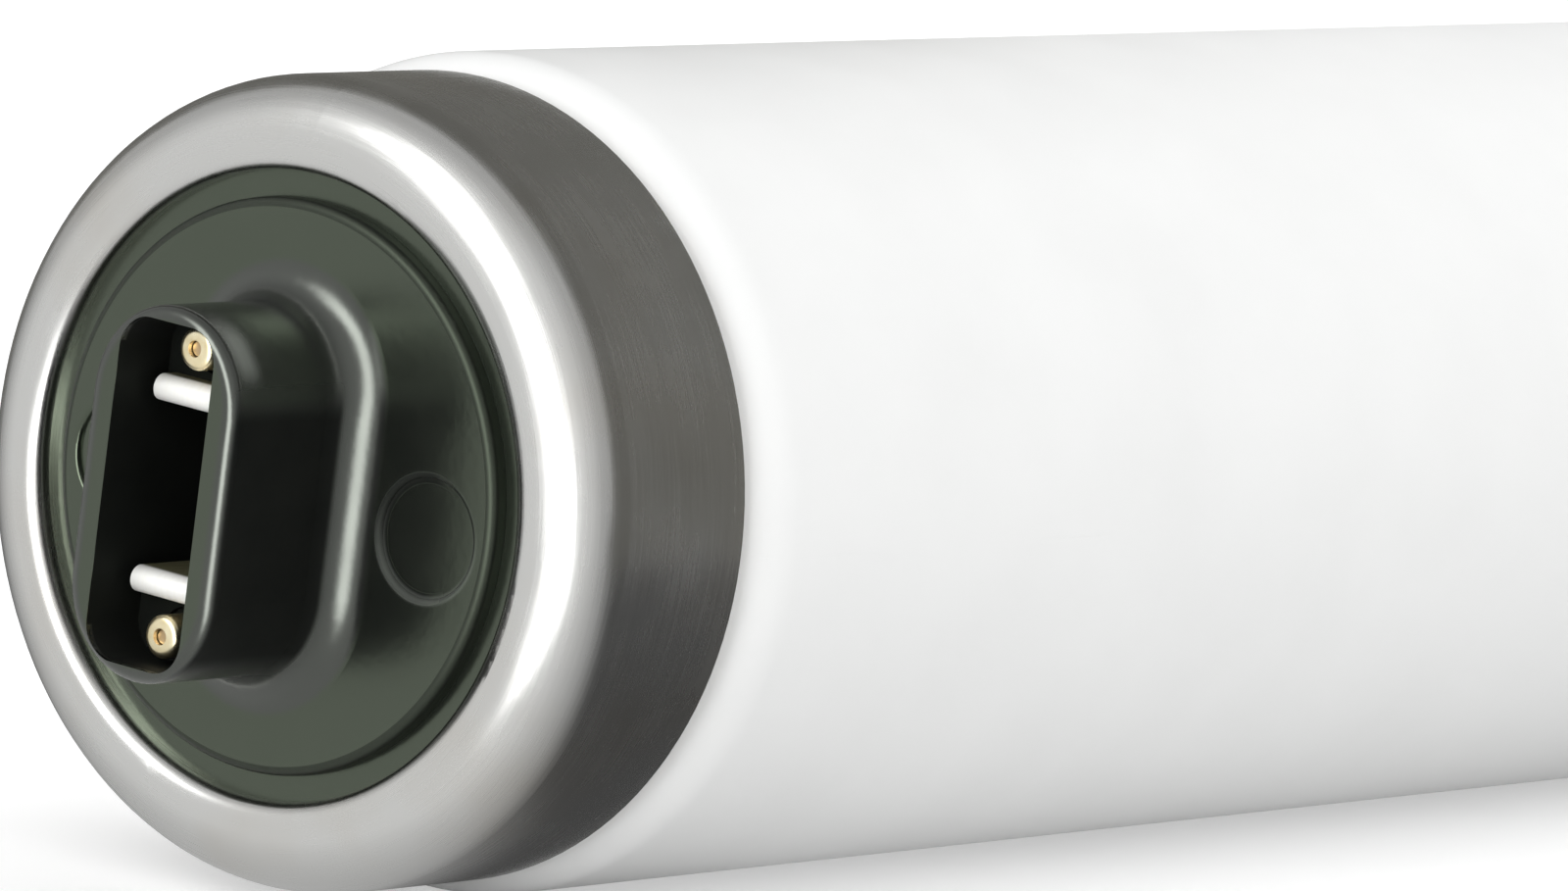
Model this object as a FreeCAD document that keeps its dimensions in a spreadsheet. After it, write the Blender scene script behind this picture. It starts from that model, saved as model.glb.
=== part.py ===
import FreeCAD, Part
import math
import os
import Sketcher

# A high-output fluorescent tube with a recessed double-contact base at each end.
# The tube lies along X with its middle at the origin, and each boss is upright, with its long side along Z.
# Every base is drawn with x = 0 at the front of its boss and x growing into the lamp.

DRIVING_SIZES = {
    "overall_length": 561.0,
    "tube_diameter": 38.1,
    "tube_shoulder_radius": 2.5,
    "tube_throat_radius": 1.0,
    "throat_gap": 0.2,
    "glass_rim_radius": 2.35,
    "glass_rim_land": 0.85,
    "glass_setback": 1.9,
    "stem_diameter": 10.4,
    "stem_depth": 21.0,
    "exhaust_diameter": 4.4,
    "exhaust_length": 17.0,
    "exhaust_tip_radius": 1.4,
    "cap_diameter": 36.5,
    "cap_wall": 0.35,
    "cap_depth": 10.1,
    "cap_shoulder_radius": 3.2,
    "cap_front_flat": 0.12,
    "lip_radius": 0.9,
    "lip_drop": 0.3,
    "cement_gap": 0.5,
    "cement_recess": 0.5,
    "flange_overlap": 1.57,
    "plateau_gap": 1.18,
    "plateau_proud": 0.6,
    "plateau_edge_radius": 0.4,
    "boss_length": 16.8,
    "boss_width": 8.5,
    "boss_height": 8.1,
    "boss_foot_radius": 1.9,
    "boss_edge_radius": 0.6,
    "boss_side_wall": 1.45,
    "boss_end_wall": 0.7,
    "cavity_corner_radius": 1.6,
    "pad_depth": 3.4,
    "slot_floor": 2.0,
    "mark_foot_gap": 0.3,
    "mark_margin": 0.65,
    "mark_drop": 0.45,
    "mark_depth": 0.25,
    "mark_edge_radius": 0.2,
    "contact_offset": 2.15,
    "contact_side_gap": 0.5,
    "contact_thickness": 0.35,
    "contact_bend_radius": 0.25,
    "contact_depth": 2.0,
    "contact_clearance": 0.05,
    "foot_bend_radius": 0.3,
    "foot_margin": 1.6,
    "eyelet_inset": 1.25,
    "eyelet_diameter": 1.95,
    "eyelet_bore": 0.75,
    "eyelet_depth": 1.8,
    "eyelet_tip_radius": 0.3,
    "eyelet_flange_diameter": 2.9,
    "eyelet_flange_thickness": 0.3,
    "spot_face_margin": 0.275,
    "spot_face_depth": 0.3,
    "wire_diameter": 0.65,
    "wire_recess": 0.25,
    "wire_bend_radius": 6.0,
    "wire_run_out": 0.6,
    "wire_press_spacing": 7.4,
}

doc = FreeCAD.newDocument("FluorescentTube")
sheet = doc.addObject("Spreadsheet::Sheet", "Sizes")
for row, (alias, value) in enumerate(DRIVING_SIZES.items(), start=1):
    sheet.set("A%d" % row, alias)
    sheet.set("B%d" % row, str(value))
    sheet.setAlias("B%d" % row, alias)
doc.recompute()


class Size:
    """A length that keeps the sheet expression it is worked out from beside its present value."""

    def __init__(self, text, value):
        self.text = text
        self.value = value

    def joined(self, sign, other, value):
        return Size("(%s %s %s)" % (self.text, sign, other.text), value)

    def __add__(self, other):
        other = as_size(other)
        return self.joined("+", other, self.value + other.value)

    def __sub__(self, other):
        other = as_size(other)
        return self.joined("-", other, self.value - other.value)

    def __mul__(self, other):
        other = as_size(other)
        return self.joined("*", other, self.value * other.value)

    def __truediv__(self, other):
        other = as_size(other)
        return self.joined("/", other, self.value / other.value)

    def __neg__(self):
        return Size("(0 - %s)" % self.text, -self.value)

    def root(self):
        return Size("sqrt(%s)" % self.text, math.sqrt(self.value))


def as_size(length):
    return length if isinstance(length, Size) else Size(repr(float(length)), float(length))


def size(alias):
    return Size("Sizes.%s" % alias, float(getattr(sheet, alias)))


# Places along one base, measured from the front of the boss
PLATEAU = size("boss_height")
RIM_PLANE = PLATEAU + size("plateau_proud")
CAP_FRONT = RIM_PLANE - size("lip_radius")
SHOULDER_END = CAP_FRONT + size("cap_shoulder_radius")
FLANGE_FRONT = RIM_PLANE + size("lip_drop")
INSULATOR_BACK = SHOULDER_END
CAP_REAR = RIM_PLANE + size("cap_depth")
GLASS_END = INSULATOR_BACK + size("glass_setback")
PRESS_FLOOR = GLASS_END + size("stem_depth")
FOOT_BACK = INSULATOR_BACK + size("contact_thickness")
EYELET_BACK = FOOT_BACK + size("eyelet_flange_thickness")

# Radii that neighbouring pieces share
CAP_RADIUS = size("cap_diameter") / 2
CAP_BORE = CAP_RADIUS - size("cap_wall")
NECK_RADIUS = CAP_BORE - size("cement_gap")
GLASS_RIM = NECK_RADIUS - size("glass_rim_radius")
MOUTH_RADIUS = CAP_RADIUS - size("cap_shoulder_radius") - size("cap_front_flat") - size("lip_radius")
PLATEAU_RADIUS = MOUTH_RADIUS - size("plateau_gap")
EYELET_RADIUS = size("eyelet_diameter") / 2

# The cavity in the boss, the eyelets near its ends, the ribs that the contacts are clipped over, and the slot
CAVITY_WIDTH = size("boss_width") - size("boss_side_wall") * 2
CAVITY_LENGTH = size("boss_length") - size("boss_end_wall") * 2
EYELET_PLACE = CAVITY_LENGTH / 2 - size("eyelet_inset")
CONTACT_PLACE = EYELET_PLACE - size("contact_offset")
CONTACT_SIDE = CAVITY_WIDTH / 2 - size("contact_side_gap")
RIB_INNER = CONTACT_PLACE - size("contact_bend_radius")
RIB_OUTER = CONTACT_PLACE + size("contact_bend_radius")
RIB_TOP = size("contact_depth") + size("contact_thickness") + size("contact_bend_radius")
SLOT_DEPTH = INSULATOR_BACK - size("slot_floor")


def new_body(label):
    body = doc.addObject("PartDesign::Body", label)
    body.Label = label
    return body


def new_sketch(body, name, plane, offset=None):
    """Starts a sketch on one of the body's own origin planes, moved along the plane's normal by offset."""
    sketch = body.newObject("Sketcher::SketchObject", name)
    origin_plane = [feature for feature in body.Origin.OriginFeatures if feature.Role == plane][0]
    sketch.AttachmentSupport = (origin_plane, "")
    sketch.MapMode = "FlatFace"
    if offset is not None:
        sketch.setExpression("AttachmentOffset.Base.z", offset.text)
    return sketch


def line(x, y):
    return (None, as_size(x), as_size(y), None)


def left_arc(x, y, radius):
    return ("left", as_size(x), as_size(y), as_size(radius))


def right_arc(x, y, radius):
    return ("right", as_size(x), as_size(y), as_size(radius))


def arc_through(start, end, radius, turn):
    """The arc of at most half a circle from start to end that turns left or right."""
    chord = end - start
    rise = math.sqrt(max(0.0, radius ** 2 - chord.Length ** 2 / 4))
    to_left = FreeCAD.Vector(-chord.y, chord.x, 0).normalize()
    centre = start + chord * 0.5 + to_left * (rise if turn == "left" else -rise)
    first, last = (start, end) if turn == "left" else (end, start)
    first_angle = math.atan2(first.y - centre.y, first.x - centre.x)
    last_angle = math.atan2(last.y - centre.y, last.x - centre.x)
    circle = Part.Circle(centre, FreeCAD.Vector(0, 0, 1), radius)
    return Part.ArcOfCircle(circle, first_angle, last_angle)


def draw(sketch, steps, closed=True):
    """Draws an outline of lines and arcs. Each step ends at a corner, and every corner and radius is bound to the
    sheet. An open outline starts at the first step's corner."""
    corners = [FreeCAD.Vector(step[1].value, step[2].value, 0) for step in steps]
    first_edge = sketch.GeometryCount
    edges = []
    constraints = []
    bindings = []

    def add_bound(kind, geometry, position, length):
        bindings.append((len(constraints), length.text))
        where = (geometry,) if position is None else (geometry, position)
        constraints.append(Sketcher.Constraint(kind, *where, length.value))

    def fix_corner(geometry, position, step):
        for kind, axis, length in (("DistanceX", -2, step[1]), ("DistanceY", -1, step[2])):
            if length.value == 0.0:
                constraints.append(Sketcher.Constraint("PointOnObject", geometry, position, axis))
            else:
                add_bound(kind, geometry, position, length)

    numbered = list(enumerate(steps))
    for index, (turn, x, y, radius) in numbered if closed else numbered[1:]:
        start, end = corners[index - 1], corners[index]
        geometry = first_edge + len(edges)
        if turn is None:
            sketch.addGeometry(Part.LineSegment(start, end))
        else:
            sketch.addGeometry(arc_through(start, end, radius.value, turn))
            add_bound("Radius", geometry, None, radius)
        ends = (2, 1) if turn == "right" else (1, 2)
        edges.append((geometry, ends))
        fix_corner(geometry, ends[1], steps[index])
    if not closed:
        fix_corner(edges[0][0], edges[0][1][0], steps[0])
    following = edges[1:] + edges[:1] if closed else edges[1:]
    for (edge, ends), (next_edge, next_ends) in zip(edges, following):
        constraints.append(Sketcher.Constraint("Coincident", edge, ends[1], next_edge, next_ends[0]))
    offset = sketch.ConstraintCount
    sketch.addConstraint(constraints)
    for index, text in bindings:
        sketch.setExpression("Constraints[%d]" % (offset + index), text)


def draw_circle(sketch, y, z, diameter):
    """Draws a circle by its bound centre and diameter."""
    place = FreeCAD.Vector(y.value, z.value, 0)
    geometry = sketch.addGeometry(Part.Circle(place, FreeCAD.Vector(0, 0, 1), diameter.value / 2))
    for kind, axis, length in (("DistanceX", -2, y), ("DistanceY", -1, z)):
        if length.value == 0.0:
            sketch.addConstraint(Sketcher.Constraint("PointOnObject", geometry, 3, axis))
        else:
            index = sketch.addConstraint(Sketcher.Constraint(kind, geometry, 3, length.value))
            sketch.setExpression("Constraints[%d]" % index, length.text)
    index = sketch.addConstraint(Sketcher.Constraint("Diameter", geometry, diameter.value))
    sketch.setExpression("Constraints[%d]" % index, diameter.text)


def racetrack(sketch, length, width):
    """A racetrack outline about the sketch's origin, upright."""
    side = width / 2
    end = length / 2
    bend = end - side
    draw(sketch, [
        line(side, bend),
        left_arc(0, end, side),
        left_arc(-side, bend, side),
        line(-side, -bend),
        left_arc(0, -end, side),
        left_arc(side, -bend, side),
    ])


def rounded_rectangle(sketch, length, width, corner):
    """An upright rectangle about the sketch's origin with round corners."""
    side = width / 2
    end = length / 2
    draw(sketch, [
        line(side, end - corner),
        left_arc(side - corner, end, corner),
        line(corner - side, end),
        left_arc(-side, end - corner, corner),
        line(-side, corner - end),
        left_arc(corner - side, -end, corner),
        line(side - corner, -end),
        left_arc(side, corner - end, corner),
    ])


def rectangle(sketch, y_low, y_high, z_low, z_high):
    draw(sketch, [line(y_high, z_low), line(y_high, z_high), line(y_low, z_high), line(y_low, z_low)])


def revolve(body, sketch, name):
    turned = body.newObject("PartDesign::Revolution", name)
    turned.Profile = sketch
    turned.ReferenceAxis = (sketch, ["H_Axis"])
    turned.Angle = 360.0
    return turned


def pad(body, sketch, name, length, backwards=False, both_ways=False):
    raised = body.newObject("PartDesign::Pad", name)
    raised.Profile = sketch
    raised.setExpression("Length", length.text)
    raised.Reversed = backwards
    raised.Midplane = both_ways
    return raised


def pocket(body, sketch, name, depth=None):
    """Cuts from the sketch towards +x, to a depth or right through, and makes sure that it cut something."""
    doc.recompute()
    before = body.Shape.Volume
    cut = body.newObject("PartDesign::Pocket", name)
    cut.Profile = sketch
    cut.Reversed = True
    if depth is None:
        cut.Type = "ThroughAll"
    else:
        cut.setExpression("Length", depth.text)
    doc.recompute()
    if not body.Shape.Volume < before:
        raise RuntimeError("%s cut nothing" % name)
    return cut


def round_edges(body, name, base, radius, chosen):
    """Rounds the edges of the base feature that the test chooses."""
    doc.recompute()
    names = ["Edge%d" % (i + 1) for i, edge in enumerate(base.Shape.Edges) if chosen(edge)]
    rounded = body.newObject("PartDesign::Fillet", name)
    rounded.Base = (base, names)
    rounded.setExpression("Radius", radius.text)
    return rounded


def lies_at(edge, x):
    box = edge.BoundBox
    tolerance = 1e-6
    return abs(box.XMin - x.value) < tolerance and abs(box.XMax - x.value) < tolerance


def reach(edge):
    """How far the edge's bounds stand from the lamp's axis, sideways and upright together."""
    box = edge.BoundBox
    return math.hypot(max(abs(box.YMin), abs(box.YMax)), max(abs(box.ZMin), abs(box.ZMax)))


def s_bend(start_x, start_y, end_y, first_radius, second_radius):
    """The middle and end of two tangent arcs that carry a line from one height to another, both ends level."""
    radii = first_radius + second_radius
    rise = end_y - start_y
    drop = radii - (rise if rise.value > 0 else -rise)
    run = (radii * radii - drop * drop).root()
    share = first_radius / radii
    return (start_x + run * share, start_y + rise * share), (start_x + run, end_y)


def place_at_end(body, end, upside_down=False, height=None):
    """Sets a base's piece at the left or right end of the lamp, with a lower piece turned about the lamp's axis."""
    turn_to_end = FreeCAD.Rotation(FreeCAD.Vector(0, 0, 1), 180 if end == "right" else 0)
    turn_over = FreeCAD.Rotation(FreeCAD.Vector(1, 0, 0), 180 if upside_down else 0)
    body.Placement = FreeCAD.Placement(FreeCAD.Vector(), turn_to_end * turn_over)
    half = size("overall_length") / 2
    body.setExpression("Placement.Base.x", (half if end == "right" else -half).text)
    if height is not None:
        body.setExpression("Placement.Base.z", height.text)


def glass_tube():
    """The sealed bulb, one solid: tube, shoulders, necks, and the stems that run back into its ends."""
    body = new_body("glass_tube")
    half = size("overall_length") / 2
    tube = size("tube_diameter") / 2
    rim = size("glass_rim_radius")
    stem = size("stem_diameter") / 2
    flare = GLASS_RIM - size("glass_rim_land") - stem
    exhaust = size("exhaust_diameter") / 2
    tip_round = size("exhaust_tip_radius")
    shoulder = size("tube_shoulder_radius")
    throat = size("tube_throat_radius")
    exhaust_tip = PRESS_FLOOR - size("exhaust_length")
    throat_start = CAP_REAR + size("throat_gap")
    swell, full = s_bend(throat_start, NECK_RADIUS, tube, throat, shoulder)

    # Half of the section, drawn at the right end, from the sealed exhaust tip inside the stem to the middle
    profile = new_sketch(body, "GlassSection", "XZ_Plane")
    draw(profile, [
        line(half - exhaust_tip, 0),
        line(half - exhaust_tip, exhaust - tip_round),
        left_arc(half - exhaust_tip - tip_round, exhaust, tip_round),
        line(half - PRESS_FLOOR, exhaust),
        line(half - PRESS_FLOOR, stem),
        line(half - GLASS_END - flare, stem),
        left_arc(half - GLASS_END, stem + flare, flare),
        line(half - GLASS_END, GLASS_RIM),
        left_arc(half - GLASS_END - rim, NECK_RADIUS, rim),
        line(half - throat_start, NECK_RADIUS),
        right_arc(half - swell[0], swell[1], throat),
        left_arc(half - full[0], full[1], shoulder),
        line(0, tube),
        line(0, 0),
    ])
    right_half = revolve(body, profile, "RightHalf")
    mirrored = body.newObject("PartDesign::Mirrored", "BothHalves")
    mirrored.Originals = [right_half]
    middle = [feature for feature in body.Origin.OriginFeatures if feature.Role == "YZ_Plane"][0]
    mirrored.MirrorPlane = (middle, [""])
    body.Tip = mirrored
    return body


def end_cap(end):
    """Drawn aluminium shell: curled lip, narrow flat front, quarter-round shoulder and plain skirt."""
    body = new_body("end_cap_%s" % end)
    wall = size("cap_wall")
    lip = size("lip_radius")
    shoulder = size("cap_shoulder_radius")
    profile = new_sketch(body, "CapSection", "XZ_Plane")
    draw(profile, [
        line(CAP_REAR, CAP_RADIUS),
        line(SHOULDER_END, CAP_RADIUS),
        left_arc(CAP_FRONT, CAP_RADIUS - shoulder, shoulder),
        line(CAP_FRONT, MOUTH_RADIUS + lip),
        left_arc(RIM_PLANE, MOUTH_RADIUS, lip),
        line(FLANGE_FRONT, MOUTH_RADIUS),
        line(FLANGE_FRONT, MOUTH_RADIUS + wall),
        line(RIM_PLANE, MOUTH_RADIUS + wall),
        right_arc(CAP_FRONT + wall, MOUTH_RADIUS + lip, lip - wall),
        line(CAP_FRONT + wall, CAP_RADIUS - shoulder),
        right_arc(SHOULDER_END, CAP_BORE, shoulder - wall),
        line(CAP_REAR, CAP_BORE),
    ])
    revolve(body, profile, "Shell")
    place_at_end(body, end)
    return body


def basing_cement(end):
    """Ring of cement between the skirt and the glass neck, which also backs the insulator's flange."""
    body = new_body("basing_cement_%s" % end)
    rim = size("glass_rim_radius")
    rear = CAP_REAR - size("cement_recess")
    profile = new_sketch(body, "CementSection", "XZ_Plane")
    draw(profile, [
        line(rear, CAP_BORE),
        line(INSULATOR_BACK, CAP_BORE),
        line(INSULATOR_BACK, GLASS_RIM),
        line(GLASS_END, GLASS_RIM),
        right_arc(GLASS_END + rim, NECK_RADIUS, rim),
        line(rear, NECK_RADIUS),
    ])
    revolve(body, profile, "Ring")
    place_at_end(body, end)
    return body


def insulator(end):
    """Moulded disc with a raised plateau and a hollow racetrack boss that holds the contacts and eyelets."""
    body = new_body("insulator_%s" % end)
    flange_radius = MOUTH_RADIUS + size("flange_overlap")
    edge = size("plateau_edge_radius")
    flat_radius = PLATEAU_RADIUS - edge
    profile = new_sketch(body, "DiscSection", "XZ_Plane")
    draw(profile, [
        line(INSULATOR_BACK, 0),
        line(INSULATOR_BACK, flange_radius),
        line(FLANGE_FRONT, flange_radius),
        line(FLANGE_FRONT, PLATEAU_RADIUS),
        line(PLATEAU + edge, PLATEAU_RADIUS),
        left_arc(PLATEAU, flat_radius, edge),
        line(PLATEAU, 0),
    ])
    revolve(body, profile, "Disc")

    # The boss, with a hollow foot where it meets the plateau and a rounded front edge
    boss_outline = new_sketch(body, "BossOutline", "YZ_Plane")
    racetrack(boss_outline, size("boss_length"), size("boss_width"))
    boss = pad(body, boss_outline, "Boss", PLATEAU)
    boss_reach = math.hypot(size("boss_length").value, size("boss_width").value)
    foot = round_edges(body, "BossFoot", boss, size("boss_foot_radius"),
                       lambda e: lies_at(e, PLATEAU) and reach(e) < boss_reach / 2)
    round_edges(body, "BossEdge", foot, size("boss_edge_radius"), lambda e: lies_at(e, as_size(0)))

    # The cavity down to the eyelet pads, the deep slot between the contacts, and the ribs beside the slot
    cavity = new_sketch(body, "CavityOutline", "YZ_Plane")
    rounded_rectangle(cavity, CAVITY_LENGTH, CAVITY_WIDTH, size("cavity_corner_radius"))
    pocket(body, cavity, "Cavity", size("pad_depth"))
    slot = new_sketch(body, "SlotOutline", "YZ_Plane")
    rectangle(slot, -CAVITY_WIDTH / 2, CAVITY_WIDTH / 2, -RIB_INNER, RIB_INNER)
    pocket(body, slot, "Slot", SLOT_DEPTH)
    ribs = new_sketch(body, "RibOutlines", "YZ_Plane", size("pad_depth"))
    rectangle(ribs, -CAVITY_WIDTH / 2, CAVITY_WIDTH / 2, RIB_INNER, RIB_OUTER)
    rectangle(ribs, -CAVITY_WIDTH / 2, CAVITY_WIDTH / 2, -RIB_OUTER, -RIB_INNER)
    pad(body, ribs, "Ribs", size("pad_depth") - RIB_TOP, backwards=True)

    # Slits for the contacts' legs, and the eyelets' spot faces and holes
    slits = new_sketch(body, "SlitOutlines", "YZ_Plane", SLOT_DEPTH)
    slit_side = CONTACT_SIDE + size("contact_clearance")
    slit_inner = RIB_INNER - size("contact_thickness") - size("contact_clearance")
    rectangle(slits, -slit_side, slit_side, slit_inner, RIB_INNER)
    rectangle(slits, -slit_side, slit_side, -RIB_INNER, -slit_inner)
    pocket(body, slits, "Slits")
    spot_faces = new_sketch(body, "SpotFaces", "YZ_Plane")
    holes = new_sketch(body, "EyeletHoles", "YZ_Plane")
    spot_face_diameter = size("eyelet_diameter") + size("spot_face_margin") * 2
    for height in (EYELET_PLACE, -EYELET_PLACE):
        draw_circle(spot_faces, as_size(0), height, spot_face_diameter)
        draw_circle(holes, as_size(0), height, size("eyelet_diameter"))
    pocket(body, spot_faces, "SpotFaceCuts", size("pad_depth") + size("spot_face_depth"))
    pocket(body, holes, "EyeletBores")

    # Shallow round marks left by the mould, one each side of the boss, with softened edges
    mark_inner = size("boss_width") / 2 + size("boss_foot_radius") + size("mark_foot_gap")
    mark_outer = flat_radius - size("mark_margin")
    mark_place = (mark_inner + mark_outer) / 2
    marks = new_sketch(body, "MouldMarks", "YZ_Plane")
    for side in (mark_place, -mark_place):
        draw_circle(marks, side, -size("mark_drop"), mark_outer - mark_inner)
    mark_cuts = pocket(body, marks, "MouldMarkCuts", PLATEAU + size("mark_depth"))
    round_edges(body, "MouldMarkEdges", mark_cuts, size("mark_edge_radius"),
                lambda e: lies_at(e, PLATEAU) and abs(e.BoundBox.Center.y) > mark_inner.value)
    place_at_end(body, end)
    return body


def contact(end, level):
    """Folded strip: a leg in the slot, a hairpin over the rib, and a foot behind the disc under the eyelet."""
    body = new_body("contact_%s_%s" % (level, end))
    thick = size("contact_thickness")
    bend = size("contact_bend_radius")
    outer_bend = bend + thick
    heel = size("foot_bend_radius")
    inner_face = CONTACT_PLACE - outer_bend
    outer_face = CONTACT_PLACE + outer_bend
    foot_tip = EYELET_PLACE + size("foot_margin")
    fold_front = size("contact_depth")
    fold_start = fold_front + outer_bend
    profile = new_sketch(body, "StripSection", "XZ_Plane")
    draw(profile, [
        line(fold_start, inner_face),
        right_arc(fold_front, CONTACT_PLACE, outer_bend),
        right_arc(fold_start, outer_face, outer_bend),
        line(size("pad_depth"), outer_face),
        line(size("pad_depth"), RIB_OUTER),
        line(fold_start, RIB_OUTER),
        left_arc(fold_front + thick, CONTACT_PLACE, bend),
        left_arc(fold_start, RIB_INNER, bend),
        line(INSULATOR_BACK, RIB_INNER),
        line(INSULATOR_BACK, foot_tip),
        line(FOOT_BACK, foot_tip),
        line(FOOT_BACK, inner_face + heel),
        right_arc(FOOT_BACK - heel, inner_face, heel),
    ])
    strip = pad(body, profile, "Strip", CONTACT_SIDE * 2, both_ways=True)
    body.Tip = strip
    hole = new_sketch(body, "RivetHole", "YZ_Plane", INSULATOR_BACK)
    draw_circle(hole, as_size(0), EYELET_PLACE, size("eyelet_diameter"))
    pocket(body, hole, "RivetBore")
    place_at_end(body, end, upside_down=level == "lower")
    return body


def eyelet(end, level):
    """Brass tube pressed through the pad, with a flange behind that clamps the contact's foot."""
    body = new_body("eyelet_%s_%s" % (level, end))
    tip = size("eyelet_depth")
    bore = size("eyelet_bore") / 2
    rounding = size("eyelet_tip_radius")
    flange = size("eyelet_flange_diameter") / 2
    profile = new_sketch(body, "EyeletSection", "XZ_Plane")
    draw(profile, [
        line(tip, bore),
        line(EYELET_BACK, bore),
        line(EYELET_BACK, flange),
        line(FOOT_BACK, flange),
        line(FOOT_BACK, EYELET_RADIUS),
        line(tip + rounding, EYELET_RADIUS),
        left_arc(tip, EYELET_RADIUS - rounding, rounding),
    ])
    revolve(body, profile, "Tube")
    place_at_end(body, end, height=EYELET_PLACE if level == "upper" else -EYELET_PLACE)
    return body


def lead_wire(end, level):
    """Wire from the eyelet's tip back to the glass press, with one easy double bend."""
    body = new_body("lead_wire_%s_%s" % (level, end))
    start = size("eyelet_depth") + size("wire_recess")
    bend_start = EYELET_BACK + size("wire_run_out")
    bend = size("wire_bend_radius")
    press_place = size("wire_press_spacing") / 2
    middle, finish = s_bend(bend_start, EYELET_PLACE, press_place, bend, bend)
    path = new_sketch(body, "WirePath", "XZ_Plane")
    draw(path, [
        line(start, EYELET_PLACE),
        line(bend_start, EYELET_PLACE),
        right_arc(middle[0], middle[1], bend),
        left_arc(finish[0], finish[1], bend),
        line(PRESS_FLOOR, press_place),
    ], closed=False)
    section = new_sketch(body, "WireSection", "YZ_Plane", start)
    draw_circle(section, as_size(0), EYELET_PLACE, size("wire_diameter"))
    wire = body.newObject("PartDesign::AdditivePipe", "Wire")
    wire.Profile = section
    wire.Spine = (path, [])
    place_at_end(body, end, upside_down=level == "lower")
    return body


bodies = [glass_tube()]
for end in ("left", "right"):
    bodies += [end_cap(end), basing_cement(end), insulator(end)]
    for level in ("upper", "lower"):
        bodies += [contact(end, level), eyelet(end, level), lead_wire(end, level)]
doc.recompute()

failed = [obj.Name for obj in doc.Objects if "Invalid" in obj.State or "Error" in obj.State]
failed += [body.Label for body in bodies if body.Shape.isNull() or not body.Shape.isValid()]
if failed:
    raise RuntimeError("not built: %s" % ", ".join(failed))

os.makedirs("parts", exist_ok=True)
for body in bodies:
    body.Shape.exportStep("parts/%s.step" % body.Label)
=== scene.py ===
import math

import bpy
from mathutils import Matrix, Vector


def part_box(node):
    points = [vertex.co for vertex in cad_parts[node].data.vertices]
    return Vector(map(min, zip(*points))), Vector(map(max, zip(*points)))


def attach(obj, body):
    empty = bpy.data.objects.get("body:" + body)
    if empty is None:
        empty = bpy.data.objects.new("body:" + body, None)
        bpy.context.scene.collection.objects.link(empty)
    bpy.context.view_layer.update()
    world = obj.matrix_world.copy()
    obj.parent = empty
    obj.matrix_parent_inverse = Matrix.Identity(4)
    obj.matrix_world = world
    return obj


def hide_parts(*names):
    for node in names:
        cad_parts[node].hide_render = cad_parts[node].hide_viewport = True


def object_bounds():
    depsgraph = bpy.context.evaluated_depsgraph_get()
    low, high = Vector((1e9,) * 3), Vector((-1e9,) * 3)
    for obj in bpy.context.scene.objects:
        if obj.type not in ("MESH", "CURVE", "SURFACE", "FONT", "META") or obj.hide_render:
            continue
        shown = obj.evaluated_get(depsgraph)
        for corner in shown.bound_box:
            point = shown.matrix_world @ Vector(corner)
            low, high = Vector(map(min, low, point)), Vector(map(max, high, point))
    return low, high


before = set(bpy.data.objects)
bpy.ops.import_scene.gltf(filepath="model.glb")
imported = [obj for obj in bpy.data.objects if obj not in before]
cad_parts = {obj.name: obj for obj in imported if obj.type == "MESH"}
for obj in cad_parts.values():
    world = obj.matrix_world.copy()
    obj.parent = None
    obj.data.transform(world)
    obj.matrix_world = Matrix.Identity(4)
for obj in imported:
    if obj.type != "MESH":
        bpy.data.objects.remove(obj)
cad_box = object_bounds()

# A high-output fluorescent tube that lies on a white floor, seen close to at its left end.
# Lengths are in metres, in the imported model's frame: the tube along X, its middle at the origin, Z up.

MM = 0.001
ENDS = ("left", "right")
LEVELS = ("upper", "lower")

# The photographed view: its width and lens in photo pixels, and where the camera stands round the left end
PHOTO_WIDTH = 1600
LENS_IN_PIXELS = 12267
SENSOR_WIDTH = 36.0
VIEW_AZIMUTH = math.radians(-51.5)
VIEW_ELEVATION = math.radians(9.1)
VIEW_ROLL = math.radians(7.4)
VIEW_DISTANCE = 532.5 * MM
VIEW_SHIFT_RIGHT = 22.24 * MM
VIEW_SHIFT_UP = 1.8 * MM
CLIP_START = 0.01
CLIP_END = 100.0
LIP_RADIUS = 0.9 * MM

# Each boss: its front, half its width and half the straight part of its sides
BOSS_FRONT = 280.5 * MM
BOSS_SIDE = 4.25 * MM
BOSS_STRAIGHT = 4.15 * MM

# The folds of the contacts in each boss, with where the painted shade behind a fold fades out and where the
# strip's own bright colour is full, from a fold's rear
FOLD_FRONT = 278.5 * MM
FOLD_RADIUS = 0.55 * MM
FOLD_PAINTED_SHADE_END = (-0.3 * MM, 0.1 * MM)

# The plateau of each insulator, and its mould marks
PLATEAU_RADIUS = 12.85 * MM
PLATEAU_EDGE = 0.4 * MM
PLATEAU_FADE = 0.05 * MM
PLATEAU_EDGE_MATT = 0.6
MARK_ASIDE = 9.125 * MM
MARK_DROP = 0.45 * MM
MARK_RADIUS = 2.675 * MM
MARK_EDGE = 0.2 * MM
MARK_FADE = 0.1 * MM
MARK_INNER_FADE = 1.5 * MM

# Where each moulding is matt: on a skin of the boss's sides, between two heights
MATT_SKIN_INSIDE = 0.02 * MM
MATT_SKIN_OUTSIDE = 0.12 * MM
MATT_SKIN_FADE = 0.15 * MM
MATT_SIDE_LOW = -6.6 * MM
MATT_SIDE_HIGH = 3.9 * MM
MATT_SIDE_FADE = 2.0 * MM

# The matt cavity starts in two steps, each so far under the boss's skin and so far behind its front
CAVITY_STEPS = ((0.65 * MM, 0.02 * MM), (0.2 * MM, 0.2 * MM))
CAVITY_FADE = 0.06 * MM
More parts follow.
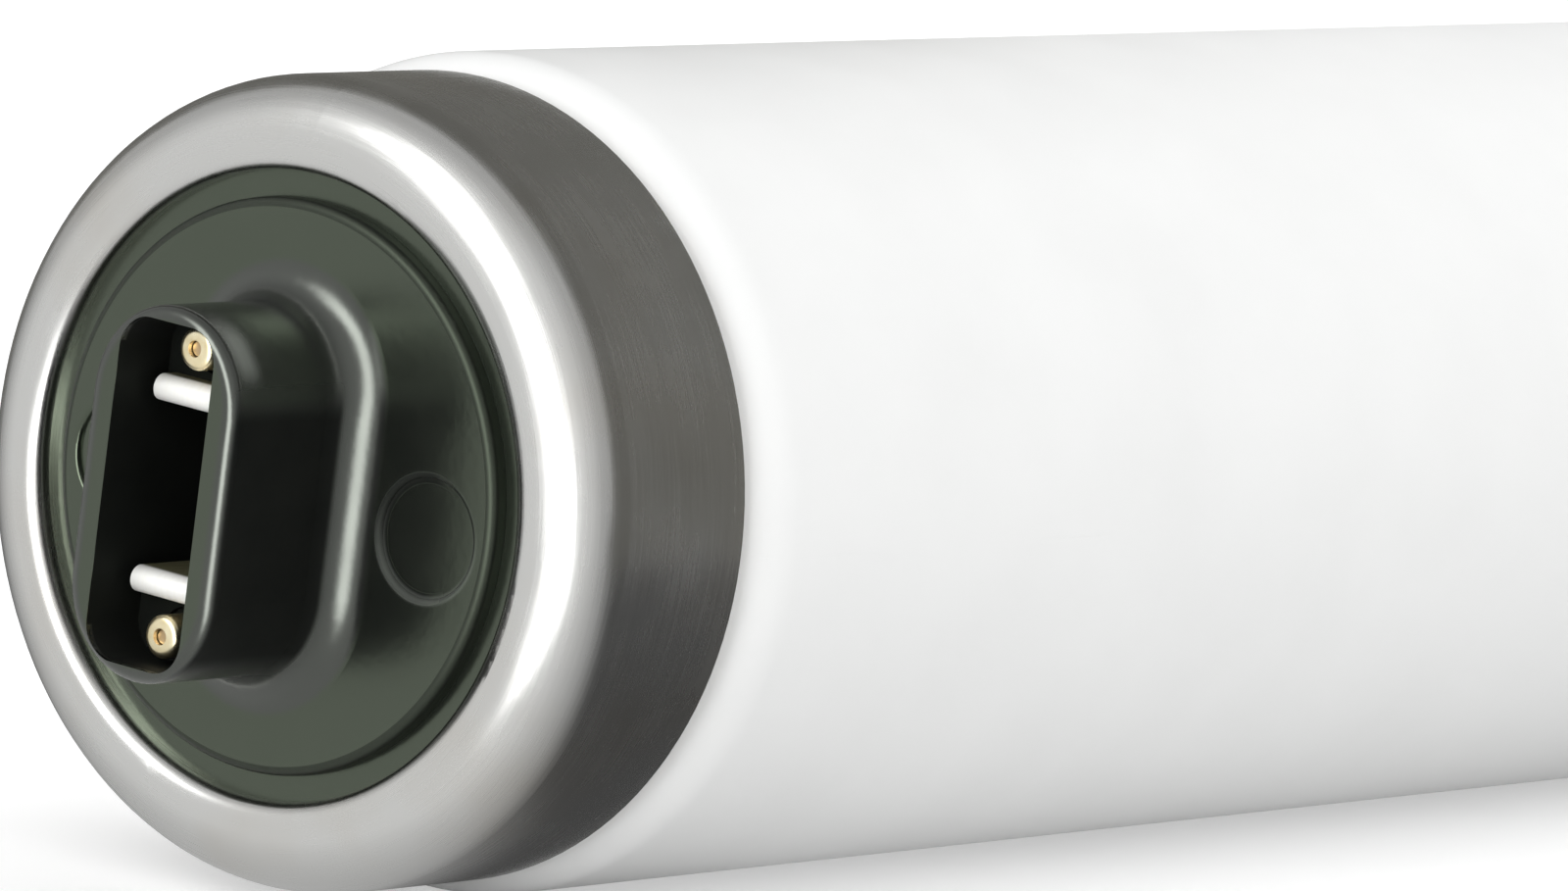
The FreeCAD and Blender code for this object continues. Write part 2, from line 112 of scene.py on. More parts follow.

# Where each moulding carries a pale painted highlight: a spot high on the boss, behind its front, and a mould
# mark's edge
SHOULDER_GLINT_FRONT = 1.2 * MM
SHOULDER_GLINT_REAR = 1.4 * MM
SHOULDER_GLINT_DEPTH_FADE = 0.9 * MM
SHOULDER_GLINT_LOW = 6.6 * MM
SHOULDER_GLINT_HIGH = 7.2 * MM
SHOULDER_GLINT_HEIGHT_FADE = 1.3 * MM
SHOULDER_GLINT_SKIN_FROM = 0.3 * MM
SHOULDER_GLINT_SKIN_FULL = 0.1 * MM
MARK_GLINT_TOP = 1.0 * MM
MARK_GLINT_FOOT = -2.4 * MM
MARK_GLINT_FADE = 0.2 * MM
MARK_GLINT_TOP_SHARE = 0.08
MARK_GLINT_FOOT_SHARE = 0.5

# Where the moulding's sheen loses its green cast, round the boss's skin
NEUTRAL_INSIDE = 0.5 * MM
NEUTRAL_OUTSIDE = 1.6 * MM
NEUTRAL_FADE = 0.3 * MM

# The bulb's glass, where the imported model's boxes don't give a size
CEMENT_GAP = 0.5 * MM
GLASS_RIM_RADIUS = 2.35 * MM
GLASS_RIM_LAND = 0.85 * MM
SHOULDER_RADIUS = 2.5 * MM
THROAT_RADIUS = 1.0 * MM
THROAT_GAP = 0.2 * MM
STEM_RADIUS = 5.2 * MM
STEM_DEPTH = 21.0 * MM
EXHAUST_RADIUS = 2.2 * MM
EXHAUST_LENGTH = 17.0 * MM
EXHAUST_TIP_RADIUS = 1.4 * MM
GLASS_SEGMENTS = 192
ARC_STEPS = 12
SHARP_ANGLE = math.radians(30)

# Most of a noise's values lie between these
NOISE_LOW = 0.3
NOISE_HIGH = 0.7

# The floor, with its own glow in the light that it gives and as the camera sees it
FLOOR_SIZE = 12.0
FLOOR_WHITE = 0.75
FLOOR_GLOW = 0.06
FLOOR_GLOW_SEEN = 0.39

# The light that falls on the lamp: stronger from one side, and from beyond the lamp's ends
KEY_SIDE = Vector((-0.2, -0.55, 0.8)).normalized()
LIGHT_LEVEL = 0.555
LIGHT_SLOPE = 0.30
END_LIGHT = 3.0
END_LIGHT_POWER = 4.0

# The studio that the metal and mouldings mirror, worked out on the floor for a mirror this far along the tube
SEEN_FROM = 0.268
SIDE_LEVEL = 0.5
END_LEVEL = 0.92
END_FULL = 0.45
UNDER_LEVEL = 0.08
UNDER_FULL = -0.35

# The softbox in that studio: how it lies, and between which shares of a direction it fades
SOFTBOX_ACROSS = Vector((-0.30, 0.75, -0.59)).normalized()
SOFTBOX_ALONG = Vector((0.0, 0.618, 0.786)).normalized()
SOFTBOX_LEVEL = 6.5
SOFTBOX_SIDES = (0.06, 0.34)
SOFTBOX_FOOT = (-0.75, -0.5)
SOFTBOX_HEAD = (0.55, 1.0)
SOFTBOX_AHEAD = (0.4, 0.65)

# What the glass mirrors: a patch of floor, and a sleeve whose dark ends show in the caps' skirts
GLASS_FLOOR_LEVEL = 0.45
GLASS_FLOOR_EDGE = (0.245, 0.262)
GLASS_SIDE_LEVEL = 0.75
SLEEVE_RADIUS = 0.11
SLEEVE_HALF_LENGTH = 0.25
SLEEVE_DARK = (0.07, 0.13)
SLEEVE_LEVEL = 0.15
SLEEVE_SEGMENTS = 64


def add_node(tree, kind, **settings):
    node = tree.nodes.new(kind)
    for name, value in settings.items():
        setattr(node, name, value)
    return node


def feed(tree, socket, value):
    """Sets a socket from another socket or from a plain value."""
    if isinstance(value, bpy.types.NodeSocket):
        tree.links.new(value, socket)
    else:
        socket.default_value = value


def math_node(tree, operation, first, second=0.0):
    """One operation on one or two numbers, each a socket or a plain value."""
    node = add_node(tree, "ShaderNodeMath", operation=operation)
    feed(tree, node.inputs[0], first)
    feed(tree, node.inputs[1], second)
    return node.outputs["Value"]


def map_range(tree, value, from_low, from_high, low, high, smooth=False):
    node = add_node(tree, "ShaderNodeMapRange", interpolation_type="SMOOTHSTEP" if smooth else "LINEAR")
    feed(tree, node.inputs["Value"], value)
    for name, number in (("From Min", from_low), ("From Max", from_high), ("To Min", low), ("To Max", high)):
        feed(tree, node.inputs[name], number)
    return node.outputs["Result"]


def choose(tree, factor, first, second):
    """The first number where the factor is 0 and the second where it is 1."""
    node = add_node(tree, "ShaderNodeMix")
    feed(tree, node.inputs["Factor"], factor)
    feed(tree, node.inputs["A"], first)
    feed(tree, node.inputs["B"], second)
    return node.outputs["Result"]


def place(tree):
    """The point on the object, in metres."""
    return add_node(tree, "ShaderNodeTexCoord").outputs["Object"]


def split(tree, vector):
    node = add_node(tree, "ShaderNodeSeparateXYZ")
    feed(tree, node.inputs[0], vector)
    return node.outputs


def join(tree, x, y, z):
    node = add_node(tree, "ShaderNodeCombineXYZ")
    for socket, value in zip(node.inputs, (x, y, z)):
        feed(tree, socket, value)
    return node.outputs[0]


def dot(tree, vector, direction):
    node = add_node(tree, "ShaderNodeVectorMath", operation="DOT_PRODUCT")
    feed(tree, node.inputs[0], vector)
    feed(tree, node.inputs[1], direction)
    return node.outputs["Value"]


def distance(tree, first, second):
    """How far a point with these two coordinates is from their origin."""
    squares = [math_node(tree, "MULTIPLY", number, number) for number in (first, second)]
    return math_node(tree, "SQRT", math_node(tree, "ADD", *squares))


def band(tree, value, low, high, fade):
    """1 between low and high and 0 outside, with a soft step at each end."""
    rise = map_range(tree, value, low - fade, low, 0.0, 1.0, smooth=True)
    fall = map_range(tree, value, high, high + fade, 1.0, 0.0, smooth=True)
    return math_node(tree, "MULTIPLY", rise, fall)


def place_round_axis(tree, round_scale):
    """The point as its place along the tube, its distance from the axis and its angle, which is scaled."""
    x, y, z = split(tree, place(tree))
    angle = math_node(tree, "ARCTAN2", z, y)
    return join(tree, x, distance(tree, y, z), math_node(tree, "MULTIPLY", angle, round_scale))


def noise(tree, vector, size, detail=3.0):
    """Noise whose blotches are about this size, in the vector's own unit."""
    node = add_node(tree, "ShaderNodeTexNoise")
    node.inputs["Scale"].default_value = 1.0 / size
    node.inputs["Detail"].default_value = detail
    feed(tree, node.inputs["Vector"], vector)
    return node.outputs["Fac"]


def spread(tree, factor, low, high):
    """Noise stretched to run from low to high."""
    return map_range(tree, factor, NOISE_LOW, NOISE_HIGH, low, high)


def blend_colours(tree, factor, first, second):
    """The first colour where the factor is 0 and the second where it is 1, each a socket or plain values."""
    node = add_node(tree, "ShaderNodeMix", data_type="RGBA")
    feed(tree, node.inputs["Factor"], factor)
    sockets = [socket for socket in node.inputs if socket.type == "RGBA"]
    for socket, colour in zip(sockets, (first, second)):
        feed(tree, socket, colour if isinstance(colour, bpy.types.NodeSocket) else (*colour, 1.0))
    return [socket for socket in node.outputs if socket.type == "RGBA"][0]


def mottle(tree, pattern, first, second):
    """A colour that runs from the first to the second with a noise pattern."""
    return blend_colours(tree, spread(tree, pattern, 0.0, 1.0), first, second)


def add_bump(tree, shader, height, depth):
    """Relief of the given depth in metres from a height that runs from 0 to 1."""
    bump = add_node(tree, "ShaderNodeBump")
    bump.inputs["Strength"].default_value = 1.0
    bump.inputs["Distance"].default_value = depth
    feed(tree, bump.inputs["Height"], height)
    feed(tree, shader.inputs["Normal"], bump.outputs["Normal"])


def new_material(name):
    material = bpy.data.materials.new(name)
    material.use_nodes = True
    return material, material.node_tree, material.node_tree.nodes["Principled BSDF"]


def coated_glass():
    """Clear glass over a matt white coat: a white body under a smooth clear gloss."""
    material, tree, shader = new_material("coated_glass")
    cloud = noise(tree, place(tree), 9 * MM)
    drawn = noise(tree, place_round_axis(tree, 10 * MM), 6 * MM, 1.0)
    feed(tree, shader.inputs["Base Color"], mottle(tree, cloud, (0.865, 0.87, 0.865), (0.89, 0.895, 0.89)))
    feed(tree, shader.inputs["Roughness"], spread(tree, cloud, 0.42, 0.52))
    feed(tree, shader.inputs["Specular IOR Level"], 0.2)
    feed(tree, shader.inputs["Coat Weight"], 0.4)
    feed(tree, shader.inputs["Coat Roughness"], 0.22)
    feed(tree, shader.inputs["Coat IOR"], 1.5)
    add_bump(tree, shader, drawn, 0.02 * MM)
    return material


def cap_aluminium():
    """Drawn aluminium: fine marks round the cap, a satin sheen that varies, and a faint brown bloom."""
    material, tree, shader = new_material("cap_aluminium")
    rings = noise(tree, place_round_axis(tree, 0.4 * MM), 0.16 * MM, 4.0)
    cloud = noise(tree, place(tree), 5 * MM)
    bloom = map_range(tree, noise(tree, place(tree), 11 * MM), 0.5, 0.75, 0.0, 0.5)
    colour = blend_colours(tree, bloom, (0.595, 0.595, 0.58), (0.50, 0.468, 0.412))
    satin = math_node(tree, "ADD", spread(tree, cloud, 0.22, 0.30), spread(tree, rings, -0.03, 0.03))
    feed(tree, shader.inputs["Base Color"], colour)
    feed(tree, shader.inputs["Metallic"], 1.0)
    feed(tree, shader.inputs["Roughness"], satin)
    add_bump(tree, shader, rings, 0.005 * MM)
    return material


def boss_distance(tree, y, z):
    """How far a point is from the middle line of the boss's racetrack."""
    past_straight = math_node(tree, "SUBTRACT", math_node(tree, "ABSOLUTE", z), BOSS_STRAIGHT)
    return distance(tree, y, math_node(tree, "MAXIMUM", past_straight, 0.0))


def mark_distance(tree, y, z):
    """How far a point is from the middle of the mould mark on its side."""
    aside = math_node(tree, "SUBTRACT", math_node(tree, "ABSOLUTE", y), MARK_ASIDE)
    return distance(tree, aside, math_node(tree, "ADD", z, MARK_DROP))


def glint_side(tree, x, y):
    """1 on the side of each base that turns to the camera at the left end, where the painted highlights sit,
    and 0 on the other side.
    """
    return math_node(tree, "GREATER_THAN", math_node(tree, "MULTIPLY", x, y), 0.0)


def matt_mark(tree, x, y, z):
    """1 at the edge of the mould mark on the side with the painted highlights, towards the boss."""
    from_mark = mark_distance(tree, y, z)
    edge = band(tree, from_mark, MARK_RADIUS - MARK_EDGE, MARK_RADIUS + MARK_EDGE, MARK_FADE)
    to_side = math_node(tree, "ABSOLUTE", y)
    inner = map_range(tree, to_side, MARK_ASIDE, MARK_ASIDE + MARK_INNER_FADE, 1.0, 0.0, smooth=True)
    return math_node(tree, "MULTIPLY", math_node(tree, "MULTIPLY", edge, inner), glint_side(tree, x, y))


def matt_parts(tree, x, y, z):
    """1 on the boss's sides, in its cavity and at one mould mark's edge, and less at the plateau's edge."""
    from_core = boss_distance(tree, y, z)
    from_middle = math_node(tree, "ABSOLUTE", x)
    skin = band(tree, from_core, BOSS_SIDE - MATT_SKIN_INSIDE, BOSS_SIDE + MATT_SKIN_OUTSIDE, MATT_SKIN_FADE)
    heights = band(tree, z, MATT_SIDE_LOW, MATT_SIDE_HIGH, MATT_SIDE_FADE)
    matt = math_node(tree, "MULTIPLY", skin, heights)
    parts = [matt_mark(tree, x, y, z)]
    for under, behind in CAVITY_STEPS:
        behind_rim = map_range(tree, from_middle, BOSS_FRONT - 2 * behind, BOSS_FRONT - behind, 1.0, 0.0)
        in_boss = map_range(tree, from_core, BOSS_SIDE - under - CAVITY_FADE, BOSS_SIDE - under, 1.0, 0.0)
        parts.append(math_node(tree, "MULTIPLY", behind_rim, in_boss))
    from_axis = distance(tree, y, z)
    plateau_edge = band(tree, from_axis, PLATEAU_RADIUS - PLATEAU_EDGE, PLATEAU_RADIUS, PLATEAU_FADE)
    parts.append(math_node(tree, "MULTIPLY", plateau_edge, PLATEAU_EDGE_MATT))
    for part in parts:
        matt = math_node(tree, "MAXIMUM", matt, part)
    return matt


def painted_glints(tree, x, y, z):
    """1 where each base gets a pale painted highlight on one side, high on the boss's shoulder, and less at
    the edge of its mould mark, mostly low down."""
    from_core = boss_distance(tree, y, z)
    on_skin = map_range(tree, from_core, BOSS_SIDE - SHOULDER_GLINT_SKIN_FROM, BOSS_SIDE - SHOULDER_GLINT_SKIN_FULL, 0.0, 1.0)
    behind_front = math_node(tree, "SUBTRACT", BOSS_FRONT, math_node(tree, "ABSOLUTE", x))
    depths = band(tree, behind_front, SHOULDER_GLINT_FRONT, SHOULDER_GLINT_REAR, SHOULDER_GLINT_DEPTH_FADE)
    heights = band(tree, z, SHOULDER_GLINT_LOW, SHOULDER_GLINT_HIGH, SHOULDER_GLINT_HEIGHT_FADE)
    shoulder = math_node(tree, "MULTIPLY", math_node(tree, "MULTIPLY", depths, heights), on_skin)
    edge = band(tree, mark_distance(tree, y, z), MARK_RADIUS, MARK_RADIUS + MARK_EDGE, MARK_GLINT_FADE)
    shares = (MARK_GLINT_TOP_SHARE, MARK_GLINT_FOOT_SHARE)
    lower = map_range(tree, z, MARK_GLINT_TOP, MARK_GLINT_FOOT, *shares, smooth=True)
    glints = math_node(tree, "MAXIMUM", shoulder, math_node(tree, "MULTIPLY", edge, lower))
    return math_node(tree, "MULTIPLY", glints, glint_side(tree, x, y))


def insulator_moulding():
    """Hard dark moulding, semi-gloss, with a slight orange-peel skin, and pale painted highlights on one side
    of each boss. Its sheen has a greenish cast, but less on the boss."""
    material, tree, shader = new_material("insulator_moulding")
    cloud = noise(tree, place(tree), 3 * MM)
    peel = noise(tree, place(tree), 0.5 * MM, 2.0)
    x, y, z = split(tree, place(tree))
    colour = mottle(tree, cloud, (0.0060, 0.0066, 0.0062), (0.0084, 0.0090, 0.0082))
    # The pale colour here is a painted highlight, high on the boss's shoulder and at a mould mark's edge
    colour = blend_colours(tree, painted_glints(tree, x, y, z), colour, (0.115, 0.123, 0.112))
    matt = matt_parts(tree, x, y, z)
    from_core = boss_distance(tree, y, z)
    on_boss = band(tree, from_core, BOSS_SIDE - NEUTRAL_INSIDE, BOSS_SIDE + NEUTRAL_OUTSIDE, NEUTRAL_FADE)
    sheen = blend_colours(tree, on_boss, (0.84, 1.0, 0.74), (0.90, 0.96, 0.87))
    feed(tree, shader.inputs["Base Color"], colour)
    feed(tree, shader.inputs["Roughness"], choose(tree, matt, spread(tree, cloud, 0.20, 0.26), 0.6))
    feed(tree, shader.inputs["Specular IOR Level"], choose(tree, matt, 0.5, 0.04))
    feed(tree, shader.inputs["IOR"], 1.86)
    feed(tree, shader.inputs["Specular Tint"], sheen)
    add_bump(tree, shader, peel, 0.006 * MM)
    return material


def contact_strip():
    """Bright plated strip, satin, with fine marks along it, bright at its fold, with dark olive painted shade
    behind.
    """
    material, tree, shader = new_material("contact_strip")
    streaks = add_node(tree, "ShaderNodeMapping")
    streaks.inputs["Scale"].default_value = (0.1, 1.0, 0.1)
    feed(tree, streaks.inputs["Vector"], place(tree))
    lines = noise(tree, streaks.outputs["Vector"], 0.15 * MM)
    bright = mottle(tree, lines, (0.99, 0.99, 0.96), (0.96, 0.955, 0.91))
    from_middle = math_node(tree, "ABSOLUTE", split(tree, place(tree))[0])
    shade_fade_start, shade_fade_end = [FOLD_FRONT - FOLD_RADIUS + ahead for ahead in FOLD_PAINTED_SHADE_END]
    clear_of_shade = map_range(tree, from_middle, shade_fade_start, shade_fade_end, 0.0, 1.0, smooth=True)
    # Dark olive painted shade behind the fold, and the strip's own bright colour at the fold
    feed(tree, shader.inputs["Base Color"], blend_colours(tree, clear_of_shade, (0.11, 0.105, 0.055), bright))
    feed(tree, shader.inputs["Metallic"], 0.25)
    feed(tree, shader.inputs["Roughness"], spread(tree, lines, 0.52, 0.64))
    add_bump(tree, shader, lines, 0.002 * MM)
    return material


def eyelet_brass():
    """Pale brass, dulled in patches."""
    material, tree, shader = new_material("eyelet_brass")
    cloud = noise(tree, place(tree), 0.6 * MM)
    feed(tree, shader.inputs["Base Color"], mottle(tree, cloud, (0.96, 0.88, 0.62), (0.84, 0.71, 0.42)))
    feed(tree, shader.inputs["Metallic"], 1.0)
    feed(tree, shader.inputs["Roughness"], spread(tree, cloud, 0.26, 0.40))
    add_bump(tree, shader, cloud, 0.008 * MM)
    return material


def lead_wire():
    """Dull wire, browned where it was crimped."""
    material, tree, shader = new_material("lead_wire")
    cloud = noise(tree, place(tree), 0.5 * MM)
    feed(tree, shader.inputs["Base Color"], mottle(tree, cloud, (0.60, 0.46, 0.28), (0.42, 0.30, 0.18)))
    feed(tree, shader.inputs["Metallic"], 1.0)
    feed(tree, shader.inputs["Roughness"], spread(tree, cloud, 0.35, 0.55))
    add_bump(tree, shader, cloud, 0.01 * MM)
    return material


def basing_cement():
    """Set cement: matt, buff and grainy."""
    material, tree, shader = new_material("basing_cement")
    grain = noise(tree, place(tree), 0.3 * MM, 5.0)
    feed(tree, shader.inputs["Base Color"], mottle(tree, grain, (0.50, 0.43, 0.32), (0.66, 0.59, 0.47)))
    feed(tree, shader.inputs["Roughness"], spread(tree, grain, 0.8, 0.95))
    add_bump(tree, shader, grain, 0.05 * MM)
    return material


def arc_points(centre, radius, start, end):
    """Points on an arc in the (along, out) plane, with angles in degrees from the along direction."""
    angles = [math.radians(start + (end - start) * step / ARC_STEPS) for step in range(ARC_STEPS + 1)]
    return [(centre[0] + radius * math.cos(a), centre[1] + radius * math.sin(a)) for a in angles]


def glass_half_section():
    """The bulb's left half as (x, radius) points, from the sealed exhaust tip over the neck to the tube."""
    low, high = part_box("glass_tube")
    end = low.x
    tube_radius = high.z
    neck_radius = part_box("basing_cement_left")[1].z - CEMENT_GAP
    cap_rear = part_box("end_cap_left")[1].x
    press_floor = end + STEM_DEPTH
    tip = press_floor - EXHAUST_LENGTH
    tip_centre = (tip + EXHAUST_TIP_RADIUS, EXHAUST_RADIUS - EXHAUST_TIP_RADIUS)
    rim_place = neck_radius - GLASS_RIM_RADIUS
    flare = rim_place - GLASS_RIM_LAND - STEM_RADIUS
    throat = cap_rear + THROAT_GAP
    radii = THROAT_RADIUS + SHOULDER_RADIUS
    turn = math.degrees(math.acos(1 - (tube_radius - neck_radius) / radii))
    full = throat + radii * math.sin(math.radians(turn))
    points = [(tip, 0.0)]
    points += arc_points(tip_centre, EXHAUST_TIP_RADIUS, 180, 90)
    points += [(press_floor, EXHAUST_RADIUS), (press_floor, STEM_RADIUS)]
    points += arc_points((end + flare, STEM_RADIUS + flare), flare, 270, 180)
    points += arc_points((end + GLASS_RIM_RADIUS, rim_place), GLASS_RIM_RADIUS, 180, 90)
    points += arc_points((throat, neck_radius + THROAT_RADIUS), THROAT_RADIUS, 270, 270 + turn)
    points += arc_points((full, tube_radius - SHOULDER_RADIUS), SHOULDER_RADIUS, 90 + turn, 90)
    return points


def ring_points(x, radius, count):
    """Points round the tube's axis, at one place along it."""
    angles = [2 * math.pi * step / count for step in range(count)]
    return [(x, radius * math.sin(a), radius * math.cos(a)) for a in angles]


def ring_faces(near, far, count):
    """Faces between two rings of points, each given by the number of its first point."""
    steps = [(k, (k + 1) % count) for k in range(count)]
    return [(near + k, near + following, far + following, far + k) for k, following in steps]


def lathe(name, section):
    """A closed solid of revolution about X from (x, radius) points that start and end on the axis."""
    vertices = [(section[0][0], 0.0, 0.0)]
    for x, radius in section[1:-1]:
        vertices += ring_points(x, radius, GLASS_SEGMENTS)
    vertices.append((section[-1][0], 0.0, 0.0))
    last = len(vertices) - 1
    last_ring = last - GLASS_SEGMENTS
    faces = []
    for near in range(1, last_ring, GLASS_SEGMENTS):
        faces += ring_faces(near, near + GLASS_SEGMENTS, GLASS_SEGMENTS)
    for k in range(GLASS_SEGMENTS):
        following = (k + 1) % GLASS_SEGMENTS
        faces.append((0, 1 + following, 1 + k))
        faces.append((last_ring + k, last_ring + following, last))
    mesh = bpy.data.meshes.new(name)
    mesh.from_pydata(vertices, [], faces)
    mesh.validate()
    mesh.shade_smooth()
    mesh.set_sharp_from_angle(angle=SHARP_ANGLE)
    piece = bpy.data.objects.new(name, mesh)
    bpy.context.scene.collection.objects.link(piece)
    return piece


def make_bulb():
    half = glass_half_section()
    section = half + [(-x, radius) for x, radius in reversed(half)]
    bulb = lathe("bulb_glass", section)
    bulb.data.materials.append(coated_glass())
    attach(bulb, "root")
    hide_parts("glass_tube")


def dress_nodes():
    """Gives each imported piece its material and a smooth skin."""
    aluminium = cap_aluminium()
    moulding = insulator_moulding()
    cement = basing_cement()
    strip = contact_strip()
    brass = eyelet_brass()
    wire = lead_wire()
    looks = {}
    for end in ENDS:
        looks["end_cap_" + end] = aluminium
        looks["insulator_" + end] = moulding
        looks["basing_cement_" + end] = cement
        for level in LEVELS:
            looks["contact_%s_%s" % (level, end)] = strip
            looks["eyelet_%s_%s" % (level, end)] = brass
            looks["lead_wire_%s_%s" % (level, end)] = wire
    for name, material in looks.items():
        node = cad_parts[name]
        node.data.shade_smooth()
        for slot in node.material_slots:
            slot.material = material


def add_to_stage(name, mesh):
    piece = bpy.data.objects.new(name, mesh)
    bpy.context.scene.collection.objects.link(piece)
    return piece


def outward_share(tree, direction):
    """How much of a direction points out of the lamp's left end, from -1 to 1."""
    return math_node(tree, "MULTIPLY", split(tree, direction)[0], -1.0)


def studio_level(tree, direction):
    """What a mirror at the lamp's left end sees in a direction: pale, brighter away from the lamp, with one
    long leaning softbox."""
    outward = outward_share(tree, direction)
    across = math_node(tree, "ABSOLUTE", dot(tree, direction, SOFTBOX_ACROSS))
    along = dot(tree, direction, SOFTBOX_ALONG)
    softbox = map_range(tree, across, *SOFTBOX_SIDES, SOFTBOX_LEVEL, 0.0, smooth=True)
    from_foot = map_range(tree, along, *SOFTBOX_FOOT, 0.0, 1.0, smooth=True)
    to_head = map_range(tree, along, *SOFTBOX_HEAD, 1.0, 0.0, smooth=True)
    ahead = map_range(tree, outward, *SOFTBOX_AHEAD, 0.0, 1.0, smooth=True)
    for share in (from_foot, to_head, ahead):
        softbox = math_node(tree, "MULTIPLY", softbox, share)
    pale = map_range(tree, outward, 0.0, END_FULL, SIDE_LEVEL, END_LEVEL)
    return math_node(tree, "ADD", pale, softbox)


def mirrored_floor_level(tree, height):
    """What the floor gives in reflections: the studio round each end, dark under the caps, and an even level
    by the glass."""
    x, y = split(tree, place(tree))[:2]
    along = math_node(tree, "ABSOLUTE", x)
    from_end = join(tree, math_node(tree, "SUBTRACT", SEEN_FROM, along), y, height)
    direction = add_node(tree, "ShaderNodeVectorMath", operation="NORMALIZE")
    feed(tree, direction.inputs[0], from_end)
    direction = direction.outputs["Vector"]
    level = studio_level(tree, direction)
    level = map_range(tree, outward_share(tree, direction), UNDER_FULL, 0.0, UNDER_LEVEL, level)
    skew = math_node(tree, "ADD", along, math_node(tree, "ABSOLUTE", y))
    by_glass = map_range(tree, skew, *GLASS_FLOOR_EDGE, 1.0, 0.0, smooth=True)
    return choose(tree, by_glass, level, GLASS_FLOOR_LEVEL)


def make_floor():
    """White paper, which carries on the studio in reflections."""
    height = cad_box[0].z
    half = FLOOR_SIZE / 2
    corners = [(-half, -half, height), (half, -half, height), (half, half, height), (-half, half, height)]
    mesh = bpy.data.meshes.new("floor")
    mesh.from_pydata(corners, [], [(0, 1, 2, 3)])
    material, tree, shader = new_material("white_floor")
    path = add_node(tree, "ShaderNodeLightPath")
    glow = choose(tree, path.outputs["Is Camera Ray"], FLOOR_GLOW, FLOOR_GLOW_SEEN)
    feed(tree, shader.inputs["Base Color"], (FLOOR_WHITE, FLOOR_WHITE, FLOOR_WHITE, 1.0))
    feed(tree, shader.inputs["Roughness"], 1.0)
    feed(tree, shader.inputs["Specular IOR Level"], 0.0)
    feed(tree, shader.inputs["Emission Color"], (1.0, 1.0, 1.0, 1.0))
    feed(tree, shader.inputs["Emission Strength"], glow)
    mirrored = add_node(tree, "ShaderNodeEmission")
    feed(tree, mirrored.inputs["Strength"], mirrored_floor_level(tree, height))
    mix = add_node(tree, "ShaderNodeMixShader")
    feed(tree, mix.inputs[0], path.outputs["Is Glossy Ray"])
    feed(tree, mix.inputs[1], shader.outputs[0])
    feed(tree, mix.inputs[2], mirrored.outputs[0])
    feed(tree, tree.nodes["Material Output"].inputs["Surface"], mix.outputs[0])
    mesh.materials.append(material)
    add_to_stage("floor", mesh)


def make_world():
    """White all round, with light that is stronger from above the camera and from beyond the lamp's ends, and
    the studio in reflections."""
    world = bpy.data.worlds.new("studio")
    bpy.context.scene.world = world
    world.use_nodes = True
    tree = world.node_tree
    direction = add_node(tree, "ShaderNodeTexCoord").outputs["Generated"]
    x, y, z = split(tree, direction)
    outward = math_node(tree, "ABSOLUTE", x)
    to_key = dot(tree, direction, KEY_SIDE)
    light = map_range(tree, to_key, -1.0, 1.0, LIGHT_LEVEL - LIGHT_SLOPE, LIGHT_LEVEL + LIGHT_SLOPE)
    ends = math_node(tree, "MULTIPLY", math_node(tree, "POWER", outward, END_LIGHT_POWER), END_LIGHT)
    light = math_node(tree, "ADD", light, ends)
    mirrored = studio_level(tree, join(tree, math_node(tree, "MULTIPLY", outward, -1.0), y, z))
    path = add_node(tree, "ShaderNodeLightPath")
    level = choose(tree, path.outputs["Is Glossy Ray"], light, mirrored)
    level = choose(tree, path.outputs["Is Camera Ray"], level, 1.0)
    feed(tree, tree.nodes["Background"].inputs["Color"], level)
    feed(tree, tree.nodes["Background"].inputs["Strength"], 1.0)


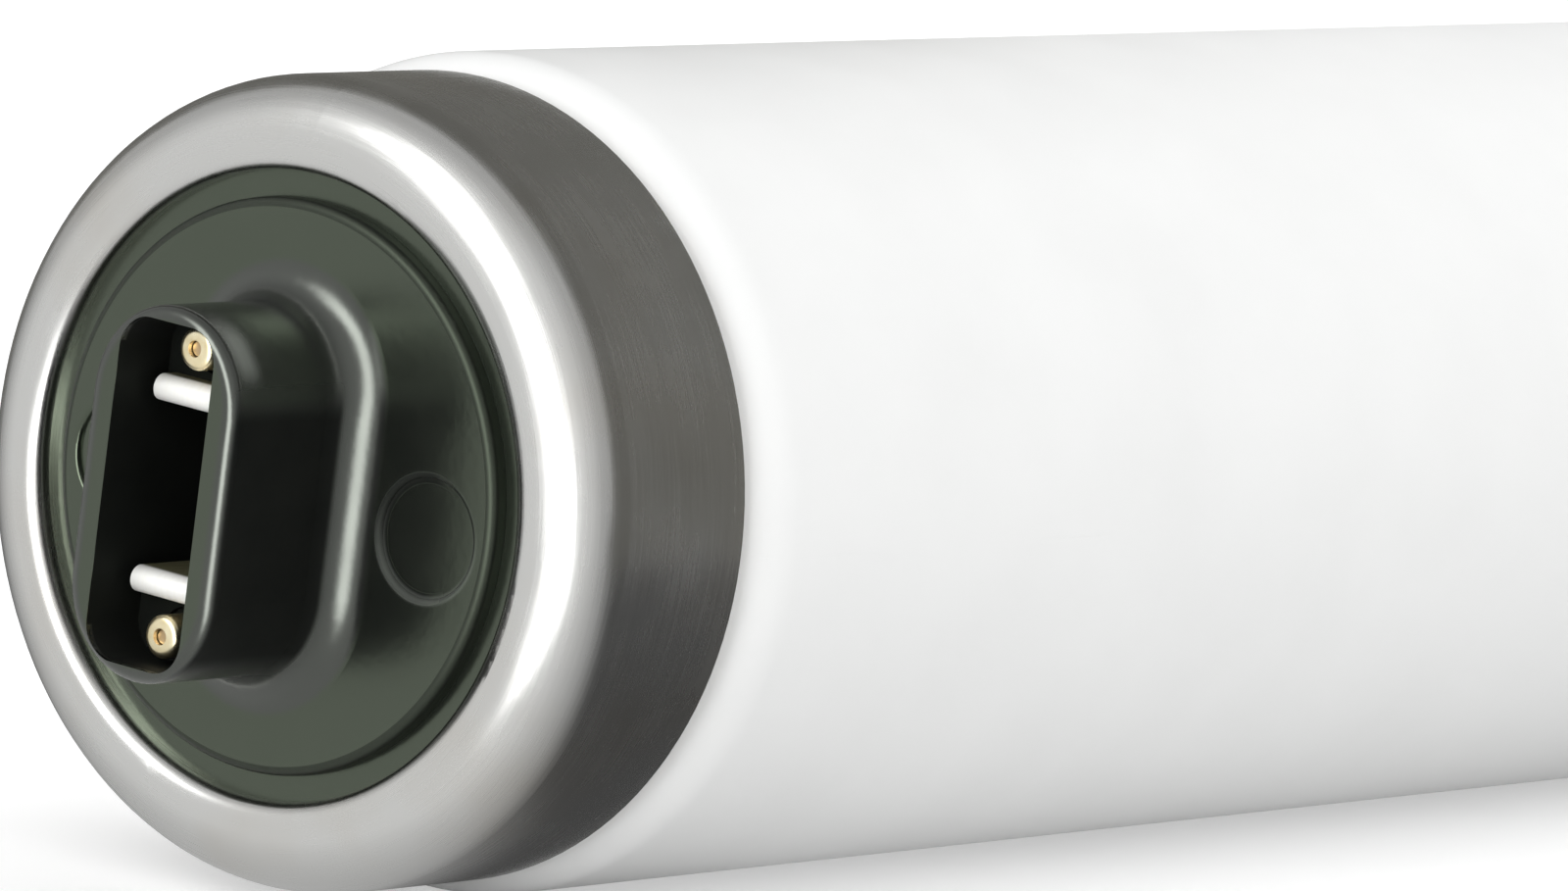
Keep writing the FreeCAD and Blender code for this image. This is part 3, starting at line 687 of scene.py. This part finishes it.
def make_sleeve():
    """An open sleeve round the tube that only reflections see: dark near its ends, so that the caps' skirts
    turn dark, and pale in the middle, for the glass."""
    vertices = []
    for x in (-SLEEVE_HALF_LENGTH, SLEEVE_HALF_LENGTH):
        vertices += ring_points(x, SLEEVE_RADIUS, SLEEVE_SEGMENTS)
    mesh = bpy.data.meshes.new("dark_sleeve")
    mesh.from_pydata(vertices, [], ring_faces(0, SLEEVE_SEGMENTS, SLEEVE_SEGMENTS))
    material, tree, shader = new_material("dark_sleeve")
    along = math_node(tree, "ABSOLUTE", split(tree, place(tree))[0])
    near_end = map_range(tree, along, *SLEEVE_DARK, 0.0, 1.0, smooth=True)
    card = add_node(tree, "ShaderNodeEmission")
    feed(tree, card.inputs["Color"], blend_colours(tree, near_end, (1.0, 1.0, 1.0), (1.0, 0.98, 0.90)))
    feed(tree, card.inputs["Strength"], choose(tree, near_end, GLASS_SIDE_LEVEL, SLEEVE_LEVEL))
    feed(tree, tree.nodes["Material Output"].inputs["Surface"], card.outputs[0])
    tree.nodes.remove(shader)
    mesh.materials.append(material)
    sleeve = add_to_stage("dark_sleeve", mesh)
    sleeve.visible_camera = False
    sleeve.visible_diffuse = False
    sleeve.visible_transmission = False
    sleeve.visible_shadow = False


def make_camera():
    """Stands where the photographer stood, looking at the left end."""
    sin_a, cos_a = math.sin(VIEW_AZIMUTH), math.cos(VIEW_AZIMUTH)
    sin_e, cos_e = math.sin(VIEW_ELEVATION), math.cos(VIEW_ELEVATION)
    back = Vector((sin_a * cos_e, -cos_a * cos_e, sin_e))
    level_right = Vector((cos_a, sin_a, 0.0))
    level_up = Vector((-sin_a * sin_e, cos_a * sin_e, cos_e))
    right = level_right * math.cos(VIEW_ROLL) + level_up * math.sin(VIEW_ROLL)
    up = level_up * math.cos(VIEW_ROLL) - level_right * math.sin(VIEW_ROLL)
    rim_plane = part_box("end_cap_left")[0].x + LIP_RADIUS
    target = Vector((rim_plane, 0.0, 0.0)) + right * VIEW_SHIFT_RIGHT + up * VIEW_SHIFT_UP
    turn = Matrix((right, up, back)).transposed().to_4x4()
    data = bpy.data.cameras.new("camera")
    data.sensor_fit = "HORIZONTAL"
    data.sensor_width = SENSOR_WIDTH
    data.lens = SENSOR_WIDTH * LENS_IN_PIXELS / PHOTO_WIDTH
    data.clip_start = CLIP_START
    data.clip_end = CLIP_END
    camera = bpy.data.objects.new("camera", data)
    camera.matrix_world = Matrix.Translation(target + back * VIEW_DISTANCE) @ turn
    bpy.context.scene.collection.objects.link(camera)
    bpy.context.scene.camera = camera


make_bulb()
dress_nodes()
make_floor()
make_world()
make_sleeve()
make_camera()
bpy.context.scene.view_settings.view_transform = "Standard"
